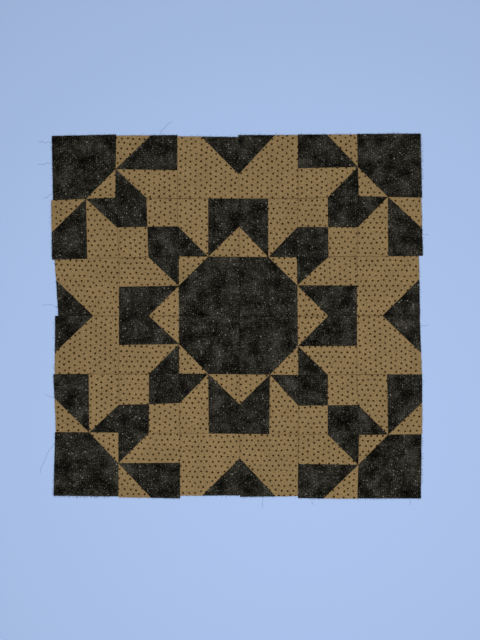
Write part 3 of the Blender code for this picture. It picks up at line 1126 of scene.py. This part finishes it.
def dark_print(name, fade=0.0):
    """Brown black cotton, clouded and specked; fade is how far the wrong side loses the print."""
    nodes = Nodes(name)
    place = print_place(nodes)
    cloud, grain = clouds_and_grain(nodes, place, DARK_CRUMBLE)
    light = nodes.ranged(nodes.mixed(GRAIN_SHARE, cloud, grain), *DARK_RANGE)
    ground = nodes.mixed(nodes.math("POWER", light, DARK_POWER), DARK_LOW, DARK_HIGH)
    away, _, lot, size = strewn(nodes, place, SPECK_PITCH, SPECK_STRAY)
    growth = nodes.ranged(size, 1 - LARGE_SPECKS, 1.0, 0.0, SPECK_GROWTH)
    inner, outer = (edge * SPECK_RADIUS / SPECK_PITCH for edge in SPECK_EDGE)
    speck = nodes.ranged(nodes.math("SUBTRACT", away, growth), inner, outer, 1.0, 0.0)
    clustered = nodes.math("ADD", lot, nodes.math("SUBTRACT", cloud, 0.5))
    speck = nodes.math("MULTIPLY", speck, nodes.ranged(clustered, *SPECK_LOTS))
    colour = nodes.mixed(speck, ground, SPECK_COLOUR)
    return cotton_finish(nodes, place, nodes.mixed(fade, colour, DARK_BACK), DARK_SEAM_SHADE)


# Yarn and thread, and how much their light varies along them
TAN_YARN = (0.33, 0.24, 0.13, 1.0)
DARK_YARN = (0.045, 0.040, 0.032, 1.0)
THREAD_COLOUR = (0.060, 0.040, 0.022, 1.0)
YARN_MOTTLE, YARN_LIGHTS = 1.5 * MM, (0.7, 1.3)


def yarn_material(name, colour):
    """Spun cotton, a little lighter and darker along its length."""
    nodes = Nodes(name)
    mottle = nodes.noise(nodes.put("TexCoord")["Object"], YARN_MOTTLE, dimensions="3D")
    light = nodes.ranged(mottle, *NOISE_SPREAD, *YARN_LIGHTS)
    return nodes.finished(nodes.scaled(colour, light), COTTON_ROUGHNESS, COTTON_SPECULAR)


# Light, floor and camera
FLOOR_COLOUR = (0.385, 0.514, 0.790, 1.0)
FLOOR_ROUGHNESS, FLOOR_SPECULAR = 0.9, 0.1
FLOOR_SIZE = 8.0
FLOOR_DROP = 0.1 * MM
SKY_STRENGTH = 0.47
LAMP_PLACE = (0.12, -0.22, 1.5)
LAMP_SIZE = 1.2
LAMP_WATTS = 16.5
# The view is 813.6 by 1084.8 mm, its middle a little right of and below the block's
VIEW_MIDDLE = (4.9 * MM, -6.5 * MM)
VIEW_LONG_SIDE = 1084.8 * MM
LENS, SENSOR = 50.0, 36.0


def add_floor():
    material = Nodes("pale_floor").finished(FLOOR_COLOUR, FLOOR_ROUGHNESS, FLOOR_SPECULAR)
    half = FLOOR_SIZE / 2
    corners = [(-half, -half), (half, -half), (half, half), (-half, half)]
    mesh = bpy.data.meshes.new("floor")
    mesh.from_pydata([(x, y, -FLOOR_DROP) for x, y in corners], [], [(0, 1, 2, 3)])
    new_object("floor", mesh, [material])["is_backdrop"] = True


def add_lights():
    world = bpy.data.worlds.new("soft_light")
    world.use_nodes = True
    sky = world.node_tree.nodes["Background"]
    sky.inputs["Color"].default_value = WHITE
    sky.inputs["Strength"].default_value = SKY_STRENGTH
    bpy.context.scene.world = world
    lamp = bpy.data.lights.new("window_light", "AREA")
    lamp.size = LAMP_SIZE
    lamp.energy = LAMP_WATTS
    holder = new_object("window_light", lamp)
    holder.location = LAMP_PLACE
    holder.rotation_euler = Vector(LAMP_PLACE).to_track_quat("Z", "Y").to_euler()
    bpy.context.scene.view_settings.view_transform = "Standard"


def add_camera():
    camera = bpy.data.cameras.new("camera")
    camera.lens = LENS
    camera.sensor_width = SENSOR
    holder = new_object("camera", camera)
    holder.location = (*VIEW_MIDDLE, VIEW_LONG_SIDE * LENS / SENSOR)
    bpy.context.scene.camera = holder


def sewing_thread():
    thread = Parts()
    for patch in PATCHES:
        for paths in stitch_paths(patch):
            add_tubes(thread, paths, THREAD_RADIUS, THREAD_SIDES, 0)
    return thread.piece("sewing_thread", [yarn_material("brown_thread", THREAD_COLOUR)])


def edge_fray(draw, yarns):
    """The short yarn ends along all the raw edges, and the yarns that lie beside them."""
    fray = Parts()
    for patch in PATCHES:
        slot = FACE_SLOTS[patch.cloth]
        for side, run in raw_runs(patch):
            add_tubes(fray, fray_paths(patch, side, run, draw), YARN_RADII, YARN_SIDES, slot)
            if draw.random() < LOOSE_CHANCE:
                path = loose_path(patch, side, run, draw)
                add_tubes(fray, path[None], LOOSE_RADIUS, YARN_SIDES, slot)
    return fray.piece("raw_edge_fray", yarns)


def long_ravellings(yarns):
    ravelled = Parts()
    for row in RAVELLINGS:
        cloth, path = ravelling_path(row)
        add_tubes(ravelled, path[None], RAVELLING_RADIUS, RAVELLING_SIDES, FACE_SLOTS[cloth])
    return ravelled.piece("ravellings", yarns)


def sewn_row(row, draw, prints):
    """One row of the block as a sheet of cloth, with the allowances on its back."""
    patches = [patch for patch in PATCHES if patch.row == row]
    cloth, allowances = ClothMesh(), Parts()
    for patch in patches:
        cloth.add_patch(patch, draw)
        add_allowances(allowances, patch)
    sheet = closed_sheet(f"pieced_row_{row + 1}", cloth, prints)
    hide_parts(CAD_NODE)
    backing = allowances.piece(f"seam_allowances_{row + 1}", prints)
    size = np.ptp(np.array(cloth.points)[:, :2], axis=0)
    area = sum(polygon_area(patch) for patch in patches)


add_camera()
add_lights()
add_floor()
draw = np.random.default_rng(SEED)
prints = [
    tan_print("tan_pin_dots"), dark_print("dark_speckle"),
    tan_print("tan_wrong_side", BACK_FADE), dark_print("dark_wrong_side", BACK_FADE),
]
yarns = [yarn_material("tan_yarn", TAN_YARN), yarn_material("dark_yarn", DARK_YARN)]
on_rows = [sewing_thread(), edge_fray(draw, yarns), long_ravellings(yarns)]
for row in range(UNITS):
    sewn_row(row, draw, prints)

boxes = {"cad": cad_box, "visual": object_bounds()}
{name: [list(corner) for corner in box] for name, box in boxes.items()}
